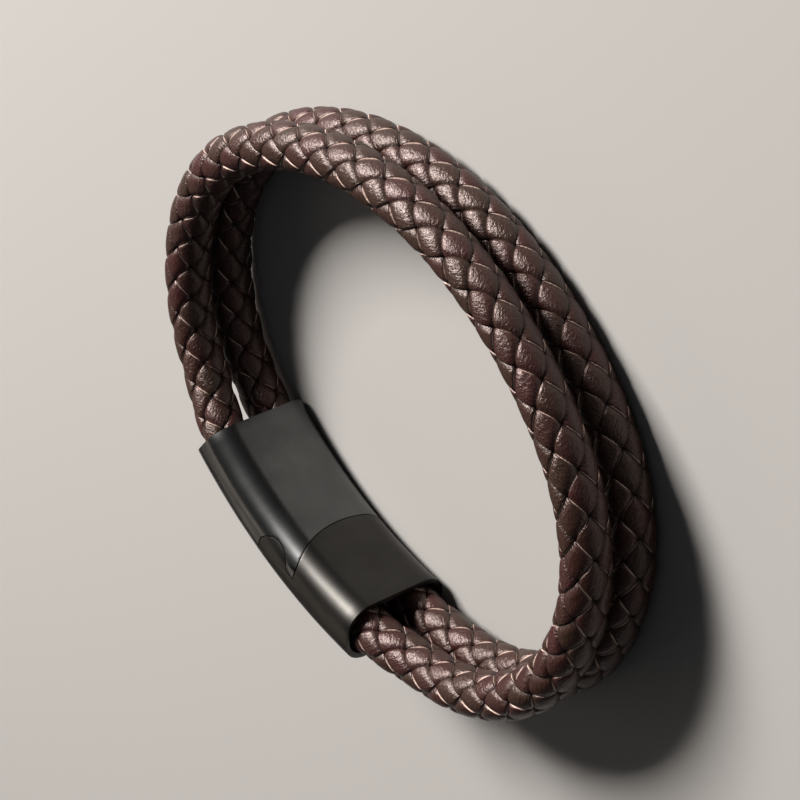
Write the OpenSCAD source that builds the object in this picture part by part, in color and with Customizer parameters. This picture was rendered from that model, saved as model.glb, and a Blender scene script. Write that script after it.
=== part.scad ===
// Double-row braided leather bracelet with a two-part magnetic clasp.
// Two round cords, each braided from eight flat laces, lie one above the other.
// The bracelet lies on its side: the floor is z = 0 and the wrist goes through along z.

/* [Loop] */
// Radius of the gently curved side that holds the clasp, at the cords' middle
near_r = 57.6; // [54:0.2:66]
// Radius of the long side opposite the clasp
far_r = 42.4; // [40:0.2:48]
// Radius of the bend at the hook half's end
left_r = 24; // [22:0.2:26]
// Radius of the bend at the knob half's end
right_r = 26; // [23:0.2:28]
// Distance from the clasp's middle to the opposite side, cord middle to cord middle
loop_depth = 57.2; // [54:0.2:61]
// How far the opposite side is shifted towards the knob half
far_shift = 5.4; // [0:0.2:8]

/* [Cords] */
// Diameter of one braided cord
cord_d = 5.8; // [5.4:0.1:6]
// Open gap between the cords where they enter the clasp
cord_gap = 1.3; // [1:0.1:1.4]
// Gap between the cords half-way along the knob half's side
gap_right = 0.5; // [0.3:0.1:1.2]
// Gap between the cords half-way along the hook half's side
gap_left = 0.2; // [0.2:0.1:1.2]
// Length of cord beside the clasp in which the gap closes to that
closing = 10; // [8:1:30]
// How far the cords droop to the floor opposite the clasp
droop = 0.75; // [0:0.05:0.75]

/* [Laces] */
// Length of cord in which a lace goes once round
lay = 18.6; // [16:0.2:21]
// Width of a lace, as a share of the room that it has in the braid
lace_share = 0.78; // [0.6:0.02:0.8]
// Thickness in the middle of a lace, whose edges are pared thin
lace_t = 0.85; // [0.6:0.05:0.9]
// Air between a lace and the one that it crosses
lace_air = 0.16; // [0.12:0.02:0.2]
// Angle round the cord of the first row of plaits, from the outer side, opposite the clasp
plait_turn = 64; // [0:1:90]
// How far the braid turns about its cord between there and the clasp
plait_swing = 42; // [0:1:60]

/* [Clasp] */
// Length of the closed clasp along its curve
clasp_len = 32; // [28:0.5:36]
// Width of the clasp, across both cords
clasp_w = 14.4; // [14:0.1:16]
// Thickness of the clasp
clasp_t = 8.2; // [8:0.1:9]
// Rounding of the clasp's long edges
clasp_round = 3.3; // [2.4:0.1:3.5]
// Play between the cords and the sides of their socket
socket_play = 0.2; // [0.15:0.05:0.25]
// Wall over the cords' socket, at the broad faces
face_wall = 0.7; // [0.6:0.05:0.9]
// Depth of the socket that the cords are glued into
socket_deep = 7; // [6:0.5:8]
// Length of cord inside the socket
cord_in = 5; // [4:0.5:5.5]

/* [Clasp joint] */
// Place of the joint line's nearest point to the hook half's end, from the clasp's middle
joint_x = 1.9; // [1.2:0.1:3]
// Radius of the knob half's arched end, seen from the wrist
arch_r = 12; // [10:0.5:30]
// Height of the arch's middle, from the clasp's middle
arch_z = -0.6; // [-1:0.1:0]
// Radius of the round knob that the hook holds
knob_r = 2.9; // [2.4:0.1:3]
// Place of the knob's middle along the clasp
knob_x = 0.85; // [0:0.05:1.5]
// Place of the knob's middle across the clasp's thickness
knob_y = -0.35; // [-0.8:0.05:0]
// Height at which the hook's tip ends
tip_y = 0.5; // [0:0.05:0.5]
// Open joint between the two halves
joint_gap = 0.12; // [0.1:0.02:0.2]

/* [Hidden] */

steel = "#55524f";
leather = "#4a2d26";

cord_r = cord_d / 2;
mid_z = clasp_w / 2;
lower_z = mid_z - (cord_d + cord_gap) / 2;

// The loop is four arcs, each tangent to the next. The middles of the two end
// bends lie where a circle round the near arc's middle meets one round the far arc's.
near_c = [0, near_r];
far_c = [far_shift, loop_depth - far_r];
function circles_meet(c0, r0, c1, r1, side) =
    let (v = c1 - c0, d = norm(v), a = (r0 * r0 - r1 * r1 + d * d) / (2 * d), h = sqrt(r0 * r0 - a * a))
    c0 + v * a / d + side * h * [-v[1], v[0]] / d;
right_c = circles_meet(near_c, near_r - right_r, far_c, far_r - right_r, 1);
left_c = circles_meet(near_c, near_r - left_r, far_c, far_r - left_r, -1);
function angle_from(start, v) = let (a = atan2(v[1], v[0])) a < start ? a + 360 : a;
turn_1 = angle_from(-90, right_c - near_c);
turn_2 = angle_from(turn_1, right_c - far_c);
turn_3 = angle_from(turn_2, left_c - far_c);
turn_4 = angle_from(turn_3, left_c - near_c);

// Columns: middle of the arc, radius, angle where it starts, angle where it ends
ARCS = [
    [near_c, near_r, -90, turn_1],
    [right_c, right_r, turn_1, turn_2],
    [far_c, far_r, turn_2, turn_3],
    [left_c, left_r, turn_3, turn_4],
    [near_c, near_r, turn_4, 270]
];
function arc_len(k) = ARCS[k][1] * (ARCS[k][3] - ARCS[k][2]) * PI / 180;
function arc_start(k) = k == 0 ? 0 : arc_start(k - 1) + arc_len(k - 1);
loop_len = arc_start(4) + arc_len(4);

// The whole part is centred over the origin
left_x = left_c[0] - left_r - cord_r;
right_x = right_c[0] + right_r + cord_r;
centre = [(left_x + right_x) / 2, (loop_depth + cord_r - clasp_t / 2) / 2];

// Angle of travel at a length s along the loop from the clasp's middle, with its arc
function arc_at(s, k = 0) = k == 4 || s < arc_start(k + 1) ? k : arc_at(s, k + 1);
function bearing(s, k) = ARCS[k][2] + (s - arc_start(k)) / ARCS[k][1] * 180 / PI;
// Goes from 0 to 1 as x does, and starts and stops gently
function ease(x) = let (c = min(max(x, 0), 1)) c * c * (3 - 2 * c);
// Droop grows smoothly from the clasp to the opposite side
function droop_at(y) = droop * (1 - cos(180 * min(max(y / loop_depth, 0), 1))) / 2;
// The clasp holds the cords apart, and beside it they close up, more on one side than on the other
function gap_at(s) =
    let (
        w = ease((min(s, loop_len - s) - clasp_len / 2) / closing),
        free = (gap_right + gap_left) / 2 + (gap_right - gap_left) / 2 * sin(360 * s / loop_len)
    )
    cord_gap * (1 - w) + free * w;
// A braid that is bent into a ring turns a little about its own middle. Here it turns in the
// knob half's side, stays so across from the clasp and turns back in the hook half's side.
function braid_turn(s) =
    plait_turn + plait_swing * (1 - ease((s / loop_len - 0.14) / 0.14) + ease((s / loop_len - 0.49) / 0.24));

// A point of a cord: s along the loop, a round the cord from its outer side, r from its middle.
// The lower cord is level 0 and the upper cord is level 1.
function cord_point(s, a, r, level) =
    let (
        k = arc_at(s),
        b = bearing(s, k),
        out = [cos(b), sin(b)],
        mid = ARCS[k][0] + ARCS[k][1] * out,
        p = mid + r * cos(a) * out - centre
    )
    [p[0], p[1], lower_z - droop_at(mid[1]) + level * (cord_d + gap_at(s)) + r * sin(a)];

// Braid: four laces wind one way, four the other, each over one and under one.
// Places along a lace are counted in crossings.
step_s = lay / 8;
step_a = 45;
first_s = clasp_len / 2 - cord_in;
last_s = loop_len - first_s;
half_w = lace_share / 2;
half_flat = half_w + 0.06;
// The straight keel of a lace cuts the corner of its arc by this much
keel_sag = (cord_r - lace_t) * (1 - cos(step_a * half_flat));
under_drop = lace_t + lace_air + keel_sag;

// How deep a lace lies at place m: 0 over a crossing, under_drop below one
function lace_drop(m) =
    let (d = abs(m - 2 * round(m / 2)))
    d <= half_flat ? 0 : d >= 1 - half_flat ? under_drop : under_drop * (d - half_flat) / (1 - 2 * half_flat);
function ring_places(a, b) = concat(
    [a],
    [for (n = [floor(a):ceil(b)], e = [-half_flat, half_flat]) if (n + e > a + 0.01 && n + e < b - 0.01) n + e],
    [b]
);

// One lace: wind 1 or -1, place 0 to 3 in its family, level of its cord
module lace(wind, place, level) {
    shift = wind > 0 ? 0 : 1;
    rings = ring_places(first_s / step_s - 2 * place, last_s / step_s - 2 * place);
    count = len(rings);
    points = [
        for (m = rings, c = [[-half_w, 0], [half_w, 0], [0, lace_t]])
            let (s = step_s * (2 * place + m + c[0])) cord_point(
                s,
                braid_turn(s) + wind * step_a * (m - c[0]),
                cord_r - lace_drop(m + shift) - c[1],
                level
            )
    ];
    sides = [
        for (n = [0:count - 2]) let (a = 3 * n, b = 3 * n + 3)
            each [
                [a, a + 1, b + 1], [a, b + 1, b],
                [a + 1, a + 2, b + 2], [a + 1, b + 2, b + 1],
                [a + 2, a, b], [a + 2, b, b + 2]
            ]
    ];
    last = 3 * (count - 1);
    faces = concat([[0, 2, 1]], sides, [[last, last + 1, last + 2]]);
    color(leather)
        polyhedron(points, wind < 0 ? faces : [for (f = faces) [f[2], f[1], f[0]]]);
}

// Laces 1 to 4 wind one way and 5 to 8 the other
module cord_lace(number, level) {
    lace(number <= 4 ? 1 : -1, (number - 1) % 4, level);
}

module rounded_bar(size, r) {
    square([size[0] - 2 * r, size[1]], center = true);
    square([size[0], size[1] - 2 * r], center = true);
    for (x = [-1, 1], y = [-1, 1])
        translate([x * (size[0] / 2 - r), y * (size[1] / 2 - r)]) circle(r, $fn = 48);
}

// A bar bent along the near arc, from one angle to another, measured from the clasp's middle
module bent_bar(size, r, from, to) {
    translate([-centre[0], near_r - centre[1], mid_z])
        rotate([0, 0, -90 + from])
            rotate_extrude(angle = to - from, $fn = 180)
                translate([near_r, 0]) rounded_bar(size, r);
}

clasp_half_angle = clasp_len / 2 / near_r * 180 / PI;
socket_angle = socket_deep / near_r * 180 / PI;
socket_w = 2 * cord_d + cord_gap + 2 * socket_play;
socket_size = [clasp_t - 2 * face_wall, socket_w];
socket_round = clasp_round - (clasp_w - socket_w) / 2 + 0.2;

// Outline of the hook half seen along z, grown by g; x runs along the clasp, y to the wrist
module hook_outline(g) {
    far = 30;
    difference() {
        union() {
            translate([-far, -far]) square([far + knob_x - knob_r + g, 2 * far]);
            translate([-far, tip_y - g]) square([far + joint_x + 7, far]);
        }
        translate([knob_x, knob_y]) circle(knob_r - g, $fn = 64);
        // Below its tip the hook leaves the knob's neck free
        translate([knob_x - knob_r + g, -far]) square([2 * far, far + tip_y - g]);
    }
}

// The hook's end is hollowed to fit round the arched end of the knob half
module hook_solid(g) {
    translate([-centre[0], -centre[1], 0]) difference() {
        translate([0, 0, -1]) linear_extrude(clasp_w + 2) hook_outline(g);
        translate([joint_x + arch_r, 20, mid_z + arch_z])
            rotate([90, 0, 0]) cylinder(h = 40, r = arch_r - g, $fn = 180);
    }
}

module clasp_hook_half() {
    color(steel) difference() {
        intersection() {
            bent_bar([clasp_t, clasp_w], clasp_round, -clasp_half_angle, clasp_half_angle);
            hook_solid(0);
        }
        bent_bar(socket_size, socket_round, -clasp_half_angle - 1, -clasp_half_angle + socket_angle);
    }
}

module clasp_knob_half() {
    color(steel) difference() {
        bent_bar([clasp_t, clasp_w], clasp_round, -clasp_half_angle, clasp_half_angle);
        hook_solid(joint_gap);
        bent_bar(socket_size, socket_round, clasp_half_angle - socket_angle, clasp_half_angle + 1);
    }
}

clasp_hook_half();
clasp_knob_half();
cord_lace(1, 1);  // upper_cord_lace_1
cord_lace(2, 1);  // upper_cord_lace_2
cord_lace(3, 1);  // upper_cord_lace_3
cord_lace(4, 1);  // upper_cord_lace_4
cord_lace(5, 1);  // upper_cord_lace_5
cord_lace(6, 1);  // upper_cord_lace_6
cord_lace(7, 1);  // upper_cord_lace_7
cord_lace(8, 1);  // upper_cord_lace_8
cord_lace(1, 0);  // lower_cord_lace_1
cord_lace(2, 0);  // lower_cord_lace_2
cord_lace(3, 0);  // lower_cord_lace_3
cord_lace(4, 0);  // lower_cord_lace_4
cord_lace(5, 0);  // lower_cord_lace_5
cord_lace(6, 0);  // lower_cord_lace_6
cord_lace(7, 0);  // lower_cord_lace_7
cord_lace(8, 0);  // lower_cord_lace_8
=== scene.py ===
# %% [markdown]
# # A double-row braided leather bracelet
#
# Two round cords, each braided from eight flat laces of waxed leather, lie side by side round the
# wrist and end in a dark steel clasp, whose hook half snaps over the knob half with magnets.
# The real bracelet is about 21 cm long in all. It lies on its side here: the floor is z = 0 and
# the wrist goes through along z. Lengths below are in millimetres and become metres through MM.
#
# The part's solids were packed before this script runs, and they hold its true shapes. So the
# script loads them and then dresses one after the other.

# %% The imported model
import math

import bmesh
import bpy
from mathutils import Matrix, Vector


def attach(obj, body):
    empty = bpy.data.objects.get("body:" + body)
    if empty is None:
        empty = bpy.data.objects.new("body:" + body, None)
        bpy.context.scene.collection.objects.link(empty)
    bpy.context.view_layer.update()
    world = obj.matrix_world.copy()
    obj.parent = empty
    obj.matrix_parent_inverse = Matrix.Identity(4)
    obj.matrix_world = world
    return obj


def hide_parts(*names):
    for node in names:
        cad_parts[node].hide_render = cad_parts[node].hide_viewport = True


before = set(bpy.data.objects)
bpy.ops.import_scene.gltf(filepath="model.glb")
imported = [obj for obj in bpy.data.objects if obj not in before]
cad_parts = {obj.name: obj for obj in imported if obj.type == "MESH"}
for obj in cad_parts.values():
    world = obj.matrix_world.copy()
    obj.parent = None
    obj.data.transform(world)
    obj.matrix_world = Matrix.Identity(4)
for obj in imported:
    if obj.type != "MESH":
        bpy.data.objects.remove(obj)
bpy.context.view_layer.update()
MM = 0.001

# %% [markdown]
# ## Two helpers
#
# Node trees read best as a list of short steps. The first helper adds one node, sets it up and
# fills its inputs, each with a plain value or with another node. Blender's colour sockets want
# linear light, while the hex colours that people know are sRGB, so the second helper turns one
# into the other.

# %% Helpers for node trees and colours
def first_output(node):
    """The first output that the node's settings leave in use."""
    return next(socket for socket in node.outputs if socket.enabled)


def step(tree, kind, inputs=None, **settings):
    """Adds a node with its settings. An input is a value, a node (its first output) or a socket."""
    made = tree.nodes.new(kind)
    for name, value in settings.items():
        setattr(made, name, value)
    for socket, value in (inputs or {}).items():
        target = made.inputs[socket]
        if isinstance(socket, str):
            target = next(s for s in made.inputs if s.enabled and s.name == socket)
        if isinstance(value, bpy.types.Node):
            value = first_output(value)
        if isinstance(value, bpy.types.NodeSocket):
            tree.links.new(value, target)
        else:
            target.default_value = value
    return made


def linear(hex_colour):
    """sRGB hex such as #3a2622 to the linear colour that a socket takes."""
    parts = [int(hex_colour[i:i + 2], 16) / 255 for i in (1, 3, 5)]
    return tuple(p / 12.92 if p <= 0.04045 else ((p + 0.055) / 1.055) ** 2.4 for p in parts) + (1.0,)


print("a dark brown in linear light:", [round(v, 4) for v in linear("#3a2622")])

# %% [markdown]
# ## The camera
#
# The photograph is taken with a long lens from about a third of a metre, looking down over the
# far side of the loop onto the inside of the clasp, with the camera turned well over on its side.
# A camera could be turned by three angles, but they are hard to read back. Here it looks at a
# named point and is then rolled about its own axis, as a photographer does it.

# %% Camera
CAMERA_AT = Vector((120.19, 226.39, 167.07)) * MM
LOOKS_AT = Vector((1.02, 2.67, 7.20)) * MM
CLASP_AT = Vector((-2.95, -28.0, 7.2)) * MM
ROLL = math.radians(112.19)
LENS = 119.5

gaze = (LOOKS_AT - CAMERA_AT).normalized()
level_right = gaze.cross(Vector((0, 0, 1))).normalized()
level_up = level_right.cross(gaze)
up = level_up * math.cos(ROLL) + level_right * math.sin(ROLL)
right = gaze.cross(up)
camera = bpy.data.objects.new("camera", bpy.data.cameras.new("camera"))
camera.data.lens = LENS
camera.data.clip_start = 0.01
camera.matrix_world = Matrix.Translation(CAMERA_AT) @ Matrix((right, up, -gaze)).transposed().to_4x4()
bpy.context.collection.objects.link(camera)
bpy.context.scene.camera = camera
# Standard keeps the deep blacks and bright streaks that the photograph has
bpy.context.scene.view_settings.view_transform = "Standard"
print("camera to clasp, mm:", round((CAMERA_AT - CLASP_AT).length / MM))

# %% [markdown]
# ## The floor
#
# The bracelet lies on plain matt paper, which is as pale as it can be without outshining dark
# leather. A flat square large enough to reach past every view does.

# %% Floor
FLOOR_SIDE = 3.0
floor_mesh = bpy.data.meshes.new("floor")
corners = [(x * FLOOR_SIDE / 2, y * FLOOR_SIDE / 2, 0) for x, y in ((-1, -1), (1, -1), (1, 1), (-1, 1))]
floor_mesh.from_pydata(corners, [], [(0, 1, 2, 3)])
floor = bpy.data.objects.new("floor", floor_mesh)
bpy.context.collection.objects.link(floor)
paper = bpy.data.materials.new("matt_paper_floor")
paper.use_nodes = True
shader = paper.node_tree.nodes["Principled BSDF"]
shader.inputs["Base Color"].default_value = linear("#9a9895")
shader.inputs["Roughness"].default_value = 0.9
floor_mesh.materials.append(paper)
print("floor side, m:", FLOOR_SIDE)

# %% [markdown]
# ## The light
#
# Waxed leather and satin steel are known by what they reflect, so the lights are as much a part
# of their look as the materials. The photograph's main light stands to the left and is low
# enough to rake over the plaits. It gives their sparkle, and the long pale streak on the knob
# half. It could be a lamp with a small radius, but a softbox keeps the streak's edges soft. A
# broad second box on the clasp's outer side is forty times weaker and lifts its outer edge.
# A third, fainter still, and a dim sky keep the shadows from closing.

# %% Lights
SKY_STRENGTH = 0.07


def softbox(name, towards, distance, width, height, watts, colour):
    """A rectangular area light in a direction from the bracelet, facing it, its width level."""
    lamp = bpy.data.lights.new(name, "AREA")
    lamp.shape = "RECTANGLE"
    lamp.size = width
    lamp.size_y = height
    lamp.energy = watts
    lamp.color = linear(colour)[:3]
    holder = bpy.data.objects.new(name, lamp)
    place = Vector(towards).normalized() * distance
    holder.location = place
    holder.rotation_euler = place.to_track_quat("Z", "Y").to_euler()
    bpy.context.collection.objects.link(holder)
    return holder


key = softbox("key_softbox", (-0.74, 0.30, 0.60), 0.95, 0.30, 0.36, 26.0, "#fffaf6")
side_light = softbox("side_softbox", (-0.46, -0.66, 0.58), 0.95, 0.7, 0.3, 0.6, "#ffeede")
fill = softbox("fill_softbox", (0.3, 0.6, 0.75), 0.9, 0.6, 0.6, 0.15, "#f4f6ff")
world = bpy.data.worlds.new("studio")
world.use_nodes = True
world.node_tree.nodes["Background"].inputs["Color"].default_value = linear("#c8ccd2")
world.node_tree.nodes["Background"].inputs["Strength"].default_value = SKY_STRENGTH
bpy.context.scene.world = world
print("lights:", key.name, side_light.name, fill.name)

# %% [markdown]
# ## The cords' centre lines
#
# Seen from above, the loop is four arcs, each tangent to the next, like an oval drawn with
# compasses. Bezier handles could draw it freely, but then it would leave the solids, which are
# made from the same arcs and the same sizes. Two of the arcs' middles are known. Each of the
# others lies where two circles meet.

# %% Sizes of the loop
# The cords, the gap between them in the clasp and in the two bends, and the length it closes in
CORD_D = 5.8
CORD_GAP = 1.3
GAP_RIGHT = 0.5
GAP_LEFT = 0.2
CLOSING = 10.0
# How far the cords droop to the floor opposite the clasp
DROOP = 0.75
# The closed clasp
CLASP_LEN = 32.0
CLASP_W = 14.4
CLASP_T = 8.2
CORD_IN_CLASP = 5.0
# Radii of the four arcs, the loop's depth, and the far arc's shift towards the knob half
NEAR_R = 57.6
FAR_R = 42.4
LEFT_R = 24.0
RIGHT_R = 26.0
DEPTH = 57.2
SHIFT = 5.4
MID_Z = CLASP_W / 2
print("free height of the two cords, mm:", round(2 * CORD_D + GAP_RIGHT, 1))

# %% The four arcs
def meeting(c0, r0, c1, r1, side):
    """Where a circle round c0 meets one round c1."""
    v = c1 - c0
    a = (r0 * r0 - r1 * r1 + v.length_squared) / (2 * v.length)
    h = math.sqrt(r0 * r0 - a * a)
    return c0 + v * (a / v.length) + Vector((-v.y, v.x)) * (side * h / v.length)


near_c = Vector((0, NEAR_R))
far_c = Vector((SHIFT, DEPTH - FAR_R))
right_c = meeting(near_c, NEAR_R - RIGHT_R, far_c, FAR_R - RIGHT_R, 1)
left_c = meeting(near_c, NEAR_R - LEFT_R, far_c, FAR_R - LEFT_R, -1)
turns = [-math.pi / 2]
for v in (right_c - near_c, right_c - far_c, left_c - far_c, left_c - near_c):
    a = math.atan2(v.y, v.x)
    turns.append(a + 2 * math.pi * (a < turns[-1]))
turns.append(1.5 * math.pi)
middles = (near_c, right_c, far_c, left_c, near_c)
radii = (NEAR_R, RIGHT_R, FAR_R, LEFT_R, NEAR_R)
arcs = list(zip(middles, radii, turns, turns[1:]))
loop_len = sum(r * (b - a) for _, r, a, b in arcs)
centre = Vector((
    (left_c.x - LEFT_R + right_c.x + RIGHT_R) / 2,
    (DEPTH + CORD_D / 2 - CLASP_T / 2) / 2,
))
print("loop length, mm:", round(loop_len, 1), "centre:", [round(c, 2) for c in centre])

# %% [markdown]
# ## From arcs to curves
#
# Each cord follows the loop a little above or below the clasp's middle and droops slightly
# towards the far side. A curve of short straight pieces is enough, because the laces only ask it
# for a place and a direction at a length along it.

# %% Two centre lines
CHORD = 0.4


def gap_at(s):
    """The clasp holds the cords apart, and beside it they close up."""
    x = min(max((min(s, loop_len - s) - CLASP_LEN / 2) / CLOSING, 0), 1)
    eased = x * x * (3 - 2 * x)
    free = (GAP_RIGHT + GAP_LEFT) / 2 + (GAP_RIGHT - GAP_LEFT) / 2 * math.sin(2 * math.pi * s / loop_len)
    return CORD_GAP * (1 - eased) + free * eased


def centre_line(name, level):
    """The path of one cord's middle as a poly curve, from the clasp's middle round to it again."""
    points = []
    begun = 0.0
    for c, r, a, b in arcs:
        pieces = max(2, round(r * (b - a) / CHORD))
        for i in range(pieces):
            bearing = a + (b - a) * i / pieces
            p = c + Vector((math.cos(bearing), math.sin(bearing))) * r
            sag = DROOP * (1 - math.cos(math.pi * min(max(p.y / DEPTH, 0), 1))) / 2
            gap = gap_at(begun + r * (bearing - a))
            z = MID_Z - (CORD_D + CORD_GAP) / 2 - sag + level * (CORD_D + gap)
            points.append((p.x - centre.x, p.y - centre.y, z))
        begun += r * (b - a)
    points.append(points[0])
    curve = bpy.data.curves.new(name, "CURVE")
    curve.dimensions = "3D"
    spline = curve.splines.new("POLY")
    spline.points.add(len(points) - 1)
    for point, place in zip(spline.points, points):
        point.co = [v * MM for v in place] + [1.0]
    return bpy.data.objects.new(name, curve)


lines = {
    "upper": centre_line("upper_line", 1),
    "lower": centre_line("lower_line", 0),
}
print("points on a centre line:", len(lines["upper"].data.splines[0].points))

# %% [markdown]
# ## The laces
#
# In an eight-strand round braid four laces wind one way and four the other, and each goes over
# one and under one. A lace could be modelled plait by plait, but its whole shape follows one
# rule, so Geometry Nodes can draw it from end to end. A flat grid is bent into the lace: one
# direction of the grid runs along it, the other goes round its flat section.
#
# Places along a lace are counted in crossings, and so is its width. First come the sizes and the
# tree's named inputs, so that every lace can be changed from outside.

# %% Sizes of a lace
# Length of cord in which a lace goes once round, and the angles of the first row of plaits
LAY = 18.6
PLAIT_TURN = 64.0
PLAIT_SWING = 42.0
CROSSING = LAY / 8
UNIT = math.hypot(CROSSING, CORD_D / 2 * math.pi / 4)
RINGS_PER_CROSSING = 8
SECTION_POINTS = 24
first = (CLASP_LEN / 2 - CORD_IN_CLASP) / CROSSING
last = loop_len / CROSSING - first
print("crossings along a lace:", round(last - first, 1), "one crossing along the lace, mm:", round(UNIT, 2))

# %% The lace tree's inputs
lace_tree = bpy.data.node_groups.new("braided_lace", "GeometryNodeTree")
lace_tree.is_modifier = True
LACE_INPUTS = {
    "Cord Radius": (CORD_D / 2 * MM, "NodeSocketFloat"),
    "Crossing": (CROSSING * MM, "NodeSocketFloat"),
    "First Crossing": (first, "NodeSocketFloat"),
    "Last Crossing": (last, "NodeSocketFloat"),
    "Half Width": (0.485, "NodeSocketFloat"),
    "Belly": (0.08, "NodeSocketFloat"),
    "Thickness": (0.75 * MM, "NodeSocketFloat"),
    "Crown": (0.10 * MM, "NodeSocketFloat"),
    "Dip": (1.60 * MM, "NodeSocketFloat"),
    "Dive": (2.2, "NodeSocketFloat"),
    "Boxiness": (7.0, "NodeSocketFloat"),
    "Unevenness": (0.05 * MM, "NodeSocketFloat"),
    "Wind": (1.0, "NodeSocketFloat"),
    "Turn": (0.0, "NodeSocketFloat"),
    "Swing": (math.radians(PLAIT_SWING), "NodeSocketFloat"),
    "Loop": (loop_len * MM, "NodeSocketFloat"),
    "Beat": (0.0, "NodeSocketFloat"),
    "Seed": (1.0, "NodeSocketFloat"),
    "Rings": (int((last - first) * RINGS_PER_CROSSING), "NodeSocketInt"),
    "Leather": (None, "NodeSocketMaterial"),
}
lace_tree.interface.new_socket("Geometry", in_out="INPUT", socket_type="NodeSocketGeometry")
lace_tree.interface.new_socket("Geometry", in_out="OUTPUT", socket_type="NodeSocketGeometry")
socket_of = {}
for name, (value, kind) in LACE_INPUTS.items():
    socket = lace_tree.interface.new_socket(name, in_out="INPUT", socket_type=kind)
    socket_of[name] = socket.identifier
    if value is not None:
        socket.default_value = value
given = lace_tree.nodes.new("NodeGroupInput").outputs
print("inputs of the lace tree:", len(socket_of))

# %% [markdown]
# ### Along the lace
#
# A cosine says how far a lace is over (1) or under (-1) the ones that it crosses. By itself it
# would give round humps. A real plait lies flat on top and dives steeply at its ends, so the part
# that is under is raised to a power. The rings of the mesh crowd together where the lace is on
# top, because only that part is seen.

# %% Where each ring stands, and how far over or under it is
RING_CROWDING = 0.45
grid = step(lace_tree, "GeometryNodeMeshGrid", {
    "Size X": 1.0, "Size Y": 1.0, "Vertices X": given["Rings"], "Vertices Y": SECTION_POINTS + 1,
})
spot = step(lace_tree, "ShaderNodeSeparateXYZ", {0: step(lace_tree, "GeometryNodeInputPosition")})
even = step(lace_tree, "ShaderNodeMapRange", {
    "Value": spot.outputs["X"], "From Min": -0.5, "From Max": 0.5,
    "To Min": given["First Crossing"], "To Max": given["Last Crossing"],
})
beat = step(lace_tree, "ShaderNodeMath", {0: even, 1: given["Beat"]}, operation="ADD")
beat_angle = step(lace_tree, "ShaderNodeMath", {0: beat, 1: math.pi}, operation="MULTIPLY")
beat_sine = step(lace_tree, "ShaderNodeMath", {0: beat_angle}, operation="SINE")
along = step(lace_tree, "ShaderNodeMath", {
    0: beat_sine, 1: -RING_CROWDING / math.pi, 2: even,
}, operation="MULTIPLY_ADD")
wave = step(lace_tree, "ShaderNodeMath", {0: along, 1: given["Beat"]}, operation="ADD")
wave_angle = step(lace_tree, "ShaderNodeMath", {0: wave, 1: math.pi}, operation="MULTIPLY")
over = step(lace_tree, "ShaderNodeMath", {0: wave_angle}, operation="COSINE")
under = step(lace_tree, "ShaderNodeMath", {
    0: over, 1: -0.5, 2: 0.5,
}, operation="MULTIPLY_ADD", use_clamp=True)
steep = step(lace_tree, "ShaderNodeMath", {0: under, 1: given["Dive"]}, operation="POWER")
drop = step(lace_tree, "ShaderNodeMath", {0: steep, 1: given["Dip"]}, operation="MULTIPLY")
print("nodes so far:", len(lace_tree.nodes))

# %% [markdown]
# ### Round the lace
#
# A strip cut from a hide has flat faces, upright cut sides and corners that wear soft. A
# rectangle would look like plastic tape and an ellipse like a noodle. A superellipse lies
# between them, and its power, the Boxiness, says how close it comes to the rectangle. At both
# ends of the lace width and thickness go to nothing, which closes the mesh.

# %% The flat section with cut sides
WITHIN_ENDS = 0.4999
turn = step(lace_tree, "ShaderNodeMath", {0: spot.outputs["Y"], 1: 2 * math.pi}, operation="MULTIPLY")
cosine = step(lace_tree, "ShaderNodeMath", {0: turn}, operation="COSINE")
sine = step(lace_tree, "ShaderNodeMath", {0: turn}, operation="SINE")
side = step(lace_tree, "ShaderNodeMath", {0: cosine}, operation="ABSOLUTE")
side_power = step(lace_tree, "ShaderNodeMath", {0: side, 1: given["Boxiness"]}, operation="POWER")
rest = step(lace_tree, "ShaderNodeMath", {0: 1.0, 1: side_power}, operation="SUBTRACT", use_clamp=True)
root = step(lace_tree, "ShaderNodeMath", {0: 1.0, 1: given["Boxiness"]}, operation="DIVIDE")
height = step(lace_tree, "ShaderNodeMath", {0: rest, 1: root}, operation="POWER")
face = step(lace_tree, "ShaderNodeMath", {0: sine}, operation="SIGN")
face_height = step(lace_tree, "ShaderNodeMath", {0: height, 1: face}, operation="MULTIPLY")
end = step(lace_tree, "ShaderNodeMath", {0: spot.outputs["X"]}, operation="ABSOLUTE")
inside = step(lace_tree, "ShaderNodeMath", {0: end, 1: WITHIN_ENDS}, operation="LESS_THAN")
bulge = step(lace_tree, "ShaderNodeMath", {0: over, 1: given["Belly"], 2: 1.0}, operation="MULTIPLY_ADD")
half = step(lace_tree, "ShaderNodeMath", {0: bulge, 1: given["Half Width"]}, operation="MULTIPLY")
closed_half = step(lace_tree, "ShaderNodeMath", {0: half, 1: inside}, operation="MULTIPLY")
across = step(lace_tree, "ShaderNodeMath", {0: cosine, 1: closed_half}, operation="MULTIPLY")
half_thick = step(lace_tree, "ShaderNodeMath", {0: given["Thickness"], 1: 0.5}, operation="MULTIPLY")
closed_thick = step(lace_tree, "ShaderNodeMath", {0: half_thick, 1: inside}, operation="MULTIPLY")
print("nodes so far:", len(lace_tree.nodes))

# %% [markdown]
# ### How far out it lies
#
# The pull of the braid rounds each plait a little, and the hand that braids never pulls quite
# evenly. So each point starts at the cord's radius and then sinks by the dip, by the crown
# towards the lace's sides, and by a few hundredths of a millimetre of slow noise.

# %% Radius from the cord's middle
SWELLS_PER_CROSSING = 0.9
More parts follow.
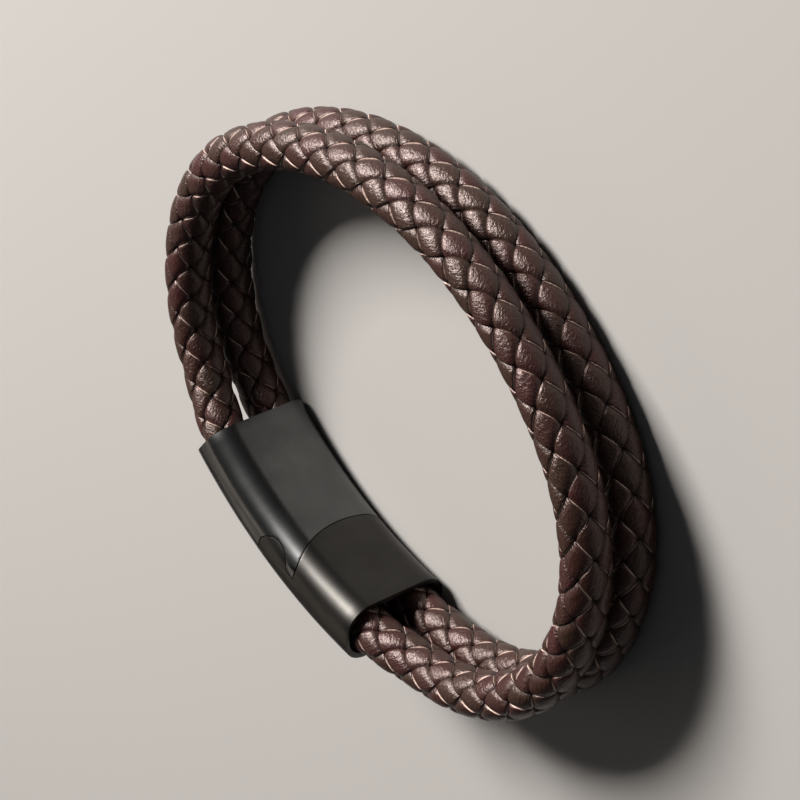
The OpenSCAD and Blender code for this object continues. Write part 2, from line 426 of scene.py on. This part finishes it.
# Keeps the laces far apart in the noise, so that no two are uneven alike
SEED_STRIDE = 17.3
seeded = step(lace_tree, "ShaderNodeMath", {0: given["Seed"], 1: SEED_STRIDE}, operation="MULTIPLY")
noise_at = step(lace_tree, "ShaderNodeCombineXYZ", {"X": along, "Y": across, "Z": seeded})
uneven = step(lace_tree, "ShaderNodeTexNoise", {
    "Vector": noise_at, "Scale": SWELLS_PER_CROSSING, "Detail": 1.0,
})
swell = step(lace_tree, "ShaderNodeMapRange", {
    "Value": uneven.outputs[0], "From Min": 0.25, "From Max": 0.75,
    "To Min": 0.0, "To Max": given["Unevenness"],
})
side_square = step(lace_tree, "ShaderNodeMath", {0: side, 1: 2.0}, operation="POWER")
crown = step(lace_tree, "ShaderNodeMath", {0: side_square, 1: given["Crown"]}, operation="MULTIPLY")
middle = step(lace_tree, "ShaderNodeMath", {0: given["Cord Radius"], 1: half_thick}, operation="SUBTRACT")
dipped = step(lace_tree, "ShaderNodeMath", {0: middle, 1: drop}, operation="SUBTRACT")
crowned = step(lace_tree, "ShaderNodeMath", {0: dipped, 1: crown}, operation="SUBTRACT")
sunk = step(lace_tree, "ShaderNodeMath", {0: crowned, 1: swell}, operation="SUBTRACT")
radius = step(lace_tree, "ShaderNodeMath", {
    0: face_height, 1: closed_thick, 2: sunk,
}, operation="MULTIPLY_ADD")
print("nodes so far:", len(lace_tree.nodes))

# %% [markdown]
# ### Winding it round the cord
#
# A lace advances by one crossing while it turns by an eighth of a circle. A braid that is bent
# into a ring also turns slowly about its own middle: back in one bend of the loop, forth again in
# the other. Both are an angle, so they are added before anything is placed.

# %% Angle round the cord
# Between which shares of the loop's length the braid turns back, and forth again
BACK_FROM = 0.14
BACK_TO = 0.28
FORTH_FROM = 0.49
FORTH_TO = 0.73
length = step(lace_tree, "ShaderNodeMath", {0: along, 1: across}, operation="ADD")
metres = step(lace_tree, "ShaderNodeMath", {0: length, 1: given["Crossing"]}, operation="MULTIPLY")
winding = step(lace_tree, "ShaderNodeMath", {0: along, 1: across}, operation="SUBTRACT")
eighth = step(lace_tree, "ShaderNodeMath", {0: given["Wind"], 1: math.pi / 4}, operation="MULTIPLY")
share = step(lace_tree, "ShaderNodeMath", {0: metres, 1: given["Loop"]}, operation="DIVIDE")
back = step(lace_tree, "ShaderNodeMapRange", {
    "Value": share, "From Min": BACK_FROM, "From Max": BACK_TO, "To Min": 1.0, "To Max": 0.0,
}, interpolation_type="SMOOTHSTEP")
forth = step(lace_tree, "ShaderNodeMapRange", {
    "Value": share, "From Min": FORTH_FROM, "From Max": FORTH_TO, "To Min": 0.0, "To Max": 1.0,
}, interpolation_type="SMOOTHSTEP")
swings = step(lace_tree, "ShaderNodeMath", {0: back, 1: forth}, operation="ADD")
turned_by = step(lace_tree, "ShaderNodeMath", {
    0: swings, 1: given["Swing"], 2: given["Turn"],
}, operation="MULTIPLY_ADD")
angle = step(lace_tree, "ShaderNodeMath", {0: winding, 1: eighth, 2: turned_by}, operation="MULTIPLY_ADD")
print("nodes so far:", len(lace_tree.nodes))

# %% [markdown]
# ### Placing the points
#
# At its length along the centre line, a point goes out sideways by radius times the cosine of its
# angle, and up by radius times the sine. The loop is almost level, so sideways is the curve's
# direction crossed with up, and no curve tilt is needed.

# %% Place of every point
path = step(lace_tree, "GeometryNodeSampleCurve", {
    "Curves": given["Geometry"], "Length": metres,
}, mode="LENGTH")
outward = step(lace_tree, "ShaderNodeVectorMath", {
    0: path.outputs["Tangent"], 1: (0, 0, 1),
}, operation="CROSS_PRODUCT")
unit_out = step(lace_tree, "ShaderNodeVectorMath", {0: outward}, operation="NORMALIZE")
angle_cos = step(lace_tree, "ShaderNodeMath", {0: angle}, operation="COSINE")
angle_sin = step(lace_tree, "ShaderNodeMath", {0: angle}, operation="SINE")
reach = step(lace_tree, "ShaderNodeMath", {0: radius, 1: angle_cos}, operation="MULTIPLY")
lift = step(lace_tree, "ShaderNodeMath", {0: radius, 1: angle_sin}, operation="MULTIPLY")
sideways = step(lace_tree, "ShaderNodeVectorMath", {0: unit_out, "Scale": reach}, operation="SCALE")
upwards = step(lace_tree, "ShaderNodeCombineXYZ", {"Z": lift})
offset = step(lace_tree, "ShaderNodeVectorMath", {0: sideways, 1: upwards}, operation="ADD")
place = step(lace_tree, "ShaderNodeVectorMath", {
    0: path.outputs["Position"], 1: offset,
}, operation="ADD")
print("nodes so far:", len(lace_tree.nodes))

# %% [markdown]
# ### What the leather needs to know
#
# The grain and the dye follow the lace and not the room, so the tree stores two attributes on
# the mesh: the place along and across the lace with a number for each plait, and how near the
# point is to a cut side, how far over it is, and which face it is on. Then the tree welds the
# seams, realizes everything and sets the material, so that a plain mesh comes out.

# %% Attributes and the finished mesh
# More plaits than any lace has, so that no two laces share a number
PLAIT_STRIDE = 100.0
WELD = 1e-6
plait = step(lace_tree, "ShaderNodeMath", {0: wave, 1: 0.5, 2: 0.5}, operation="MULTIPLY_ADD")
plait_number = step(lace_tree, "ShaderNodeMath", {0: plait}, operation="FLOOR")
plait_seed = step(lace_tree, "ShaderNodeMath", {
    0: given["Seed"], 1: PLAIT_STRIDE, 2: plait_number,
}, operation="MULTIPLY_ADD")
grain_at = step(lace_tree, "ShaderNodeCombineXYZ", {"X": along, "Y": across, "Z": plait_seed})
edge_at = step(lace_tree, "ShaderNodeCombineXYZ", {"X": side, "Y": over, "Z": face})
keep_grain = step(lace_tree, "GeometryNodeStoreNamedAttribute", {
    "Geometry": grid, "Name": "lace_place", "Value": grain_at,
}, data_type="FLOAT_VECTOR", domain="POINT")
keep_edge = step(lace_tree, "GeometryNodeStoreNamedAttribute", {
    "Geometry": keep_grain, "Name": "lace_edge", "Value": edge_at,
}, data_type="FLOAT_VECTOR", domain="POINT")
bent = step(lace_tree, "GeometryNodeSetPosition", {"Geometry": keep_edge, "Position": place})
joined = step(lace_tree, "GeometryNodeMergeByDistance", {"Geometry": bent, "Distance": WELD})
smooth = step(lace_tree, "GeometryNodeSetShadeSmooth", {"Geometry": joined, "Shade Smooth": True})
real = step(lace_tree, "GeometryNodeRealizeInstances", {"Geometry": smooth})
dressed = step(lace_tree, "GeometryNodeSetMaterial", {"Geometry": real, "Material": given["Leather"]})
step(lace_tree, "NodeGroupOutput", {"Geometry": dressed})
print("nodes in the lace tree:", len(lace_tree.nodes))

# %% [markdown]
# ## Waxed leather: the grain
#
# The laces are cut from drum-dyed cowhide, waxed on the grain side. Waxing gives a half-gloss
# that breaks up on the grain. The grain is a fine crinkle, drawn out along the lace by the pull
# of the braid. A photographed texture would have to be unwrapped along sixteen laces, while a
# noise that is stretched on the lace's own coordinates follows them by itself.

# %% Grain of the leather
# Creases in millimetres: how long, how far apart, and the bump's depth
CREASE_LENGTH = 0.5
CREASE_SPACING = 0.3
CREASE_DEPTH = 0.13
leather = bpy.data.materials.new("waxed_cowhide")
leather.use_nodes = True
hide_tree = leather.node_tree
hide = hide_tree.nodes["Principled BSDF"]
lace_place = step(hide_tree, "ShaderNodeAttribute", attribute_name="lace_place")
lace_edge = step(hide_tree, "ShaderNodeAttribute", attribute_name="lace_edge")
place_parts = step(hide_tree, "ShaderNodeSeparateXYZ", {0: lace_place.outputs["Vector"]})
edge_parts = step(hide_tree, "ShaderNodeSeparateXYZ", {0: lace_edge.outputs["Vector"]})
# Millimetres along and across the lace
grain_mm = step(hide_tree, "ShaderNodeVectorMath", {
    0: lace_place.outputs["Vector"], 1: (UNIT, UNIT, 1.0),
}, operation="MULTIPLY")
drawn = step(hide_tree, "ShaderNodeMapping", {
    "Vector": grain_mm, "Scale": (1 / CREASE_LENGTH, 1 / CREASE_SPACING, 1.0),
})
creases = step(hide_tree, "ShaderNodeTexNoise", {
    "Vector": drawn, "Scale": 1.0, "Detail": 3.0, "Roughness": 0.6, "Distortion": 0.3,
})
bump = step(hide_tree, "ShaderNodeBump", {
    "Height": creases.outputs[0], "Strength": 1.0, "Distance": CREASE_DEPTH * MM,
})
hide_tree.links.new(bump.outputs[0], hide.inputs["Normal"])
# Wax reflects a little more than bare hide, with a warm tint
hide.inputs["Specular IOR Level"].default_value = 0.65
hide.inputs["Specular Tint"].default_value = (1.0, 0.83, 0.79, 1.0)
print("nodes in the grain:", len(hide_tree.nodes))

# %% [markdown]
# ## Waxed leather: the dye and the cut sides
#
# Dye takes a little differently from place to place, so the plaits drift between burgundy and
# grey-brown. White noise on the plait's number picks a colour from a ramp, which keeps one colour
# over a whole plait, as a cloudy noise wouldn't. Where a lace dives under the next one, its colour
# is darkened: that is painted shade for the crevice. The cut sides show the pale raw hide, which is
# matt. They show most beside the middle of a plait, and the grain frays their border.

# %% Colours of the leather
FRAY = 0.016
TAPER = 0.022
CUT_FROM = 0.991
WAXED_ROUGHNESS = 0.38
RAW_ROUGHNESS = 0.75
dye = step(hide_tree, "ShaderNodeTexWhiteNoise", {"W": place_parts.outputs["Z"]}, noise_dimensions="1D")
dye_ramp = step(hide_tree, "ShaderNodeValToRGB", {0: dye.outputs["Value"]})
ramp = dye_ramp.color_ramp
ramp.elements[0].position = 0.0
ramp.elements[0].color = linear("#301110")
ramp.elements[1].position = 1.0
ramp.elements[1].color = linear("#29180f")
for position, tone in ((0.25, "#2a170f"), (0.5, "#321313"), (0.75, "#27180e")):
    ramp.elements.new(position).color = linear(tone)
# Painted shade: the dye darkens to a fifth where the lace dives under the next one
painted_crevice_shade = step(hide_tree, "ShaderNodeMapRange", {
    "Value": edge_parts.outputs["Y"], "From Min": -0.1, "From Max": 0.45, "To Min": 0.2, "To Max": 1.0,
})
dye_and_painted_shade = step(hide_tree, "ShaderNodeVectorMath", {
    0: dye_ramp.outputs["Color"], "Scale": painted_crevice_shade,
}, operation="SCALE")
rough_edge = step(hide_tree, "ShaderNodeMath", {
    0: creases.outputs[0], 1: FRAY, 2: edge_parts.outputs["X"],
}, operation="MULTIPLY_ADD")
tapered = step(hide_tree, "ShaderNodeMath", {
    0: edge_parts.outputs["Y"], 1: TAPER, 2: rough_edge,
}, operation="MULTIPLY_ADD")
cut = step(hide_tree, "ShaderNodeMapRange", {
    "Value": tapered, "From Min": CUT_FROM, "From Max": 1.0, "To Min": 0.0, "To Max": 1.0,
})
raw = step(hide_tree, "ShaderNodeMix", {"Factor": cut, "A": dye_and_painted_shade, "B": linear("#d9beb1")}, data_type="RGBA")
gloss = step(hide_tree, "ShaderNodeMapRange", {
    "Value": cut, "To Min": WAXED_ROUGHNESS, "To Max": RAW_ROUGHNESS,
})
hide_tree.links.new(first_output(raw), hide.inputs["Base Color"])
hide_tree.links.new(gloss.outputs[0], hide.inputs["Roughness"])
print("nodes in the leather:", len(hide_tree.nodes))

# %% [markdown]
# ## Sixteen laces
#
# One tree makes all the laces. Each is the same modifier on the cord's centre line, with its own
# winding, turn, beat and seed. Inputs are set by their sockets' identifiers before the object is
# first evaluated. The result is copied to a plain mesh, and the modifier goes before the piece is
# told which solid it replaces. Four laces wind one way, a quarter turn apart, and four the
# other. These start one crossing later in the over and under, or the two sets would meet.

# %% Sixteen laces
for cord, line in lines.items():
    bpy.context.collection.objects.link(line)
    for number in range(1, 9):
        wind = 1.0 if number <= 4 else -1.0
        turned = math.radians(PLAIT_TURN) - wind * math.pi / 2 * ((number - 1) % 4)
        node = f"{cord}_cord_lace_{number}"
        braid = line.modifiers.new("braid", "NODES")
        braid.node_group = lace_tree
        braid[socket_of["Wind"]] = wind
        braid[socket_of["Turn"]] = turned
        braid[socket_of["Beat"]] = 0.0 if wind > 0 else 1.0
        braid[socket_of["Seed"]] = number + (8.0 if cord == "lower" else 0.0)
        braid[socket_of["Leather"]] = leather
        shaped = line.evaluated_get(bpy.context.evaluated_depsgraph_get())
        mesh = bpy.data.meshes.new_from_object(shaped)
        line.modifiers.remove(braid)
        piece = bpy.data.objects.new(node + "_leather", mesh)
        bpy.context.collection.objects.link(piece)
        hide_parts(node)
        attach(piece, "root")
        if number == 1:
            print(piece.name, "vertices:", len(mesh.vertices), "polygons:", len(mesh.polygons))
    bpy.data.objects.remove(line)

# %% [markdown]
# ## Coated steel
#
# Both halves of the clasp are cast steel, blasted with beads and given a dark coat. The coat is
# thin, so what the eye meets is still metal: a dark metallic base with a satin roughness. The two
# halves get two tones of the one coat: the hook half's lighter neutral grey is painted reflection,
# and the knob half's darker, warmer tone is painted shade. The knob half is also a shade rougher.
# Noise in two sizes keeps them from looking like plastic: pits too fine to see singly, and clouds
# where the coat is handled.

# %% Coated steel
# Width of a pit and of a cloud, and depth of a pit, in millimetres
PIT_WIDTH = 0.08
PIT_DEPTH = 0.004
CLOUD_WIDTH = 5
# How far tone and roughness stray in the clouds
TONE_STRAY = 0.12
ROUGHNESS_STRAY = 0.03


def coated_steel(name, tone, roughness):
    """Dark coating on bead-blasted steel: a satin that varies a little from place to place."""
    made = bpy.data.materials.new(name)
    made.use_nodes = True
    tree = made.node_tree
    coat = tree.nodes["Principled BSDF"]
    coat.inputs["Metallic"].default_value = 1.0
    spot_on = step(tree, "ShaderNodeTexCoord").outputs["Object"]
    pits = step(tree, "ShaderNodeTexNoise", {
        "Vector": spot_on, "Scale": 1 / (PIT_WIDTH * MM), "Detail": 2.0,
    })
    clouds = step(tree, "ShaderNodeTexNoise", {
        "Vector": spot_on, "Scale": 1 / (CLOUD_WIDTH * MM), "Detail": 3.0,
    })
    shade = step(tree, "ShaderNodeMapRange", {
        "Value": clouds, "From Min": 0.3, "From Max": 0.7,
        "To Min": 1 - TONE_STRAY, "To Max": 1 + TONE_STRAY,
    })
    rubbed = step(tree, "ShaderNodeMapRange", {
        "Value": clouds, "From Min": 0.3, "From Max": 0.7,
        "To Min": roughness + ROUGHNESS_STRAY, "To Max": roughness - ROUGHNESS_STRAY,
    })
    colour = step(tree, "ShaderNodeVectorMath", {0: linear(tone)[:3], "Scale": shade}, operation="SCALE")
    bump = step(tree, "ShaderNodeBump", {"Height": pits, "Strength": 1.0, "Distance": PIT_DEPTH * MM})
    tree.links.new(colour.outputs[0], coat.inputs["Base Color"])
    tree.links.new(rubbed.outputs[0], coat.inputs["Roughness"])
    tree.links.new(bump.outputs[0], coat.inputs["Normal"])
    print(name, [round(v, 3) for v in linear(tone)[:3]])
    return made


# The hook half's lighter grey is painted reflection, and the knob half's darker tone is painted shade
clasp_coats = {
    "clasp_hook_half": coated_steel("lighter_coat_painted_reflection", "#5e5f5f", 0.29),
    "clasp_knob_half": coated_steel("darker_coat_painted_shade", "#3e3d3b", 0.38),
}

# %% [markdown]
# ## The clasp
#
# The knob half ends in an arch that slides under the hook half, and a round knob on it sits in
# the hook. That is already right in the solids, so they aren't modelled again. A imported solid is
# loose triangles, though, which can't be bevelled. So each half is copied, its points are merged
# and its flat faces are joined. A narrow bevel then softens the corners, as tumbling leaves them.
# It acts only on sharp edges, and the long rounded edges stay as they are.

# %% Clasp halves
SAME_POINT = 1e-6
FLAT_ENOUGH = math.radians(0.5)
SHARP_CORNER = math.radians(35)
SOFTENED = 0.18 * MM
for node in ("clasp_hook_half", "clasp_knob_half"):
    mesh = bpy.data.meshes.new(node + "_steel")
    work = bmesh.new()
    work.from_mesh(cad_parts[node].data)
    bmesh.ops.remove_doubles(work, verts=work.verts, dist=SAME_POINT)
    bmesh.ops.dissolve_limit(work, angle_limit=FLAT_ENOUGH, verts=work.verts, edges=work.edges)
    work.to_mesh(mesh)
    work.free()
    for polygon in mesh.polygons:
        polygon.use_smooth = True
    mesh.materials.clear()
    mesh.materials.append(clasp_coats[node])
    piece = bpy.data.objects.new(node + "_steel", mesh)
    bpy.context.collection.objects.link(piece)
    bevel = piece.modifiers.new("softened_corners", "BEVEL")
    bevel.width = SOFTENED
    bevel.segments = 3
    bevel.limit_method = "ANGLE"
    bevel.angle_limit = SHARP_CORNER
    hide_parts(node)
    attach(piece, "root")
    print(piece.name, len(mesh.polygons))
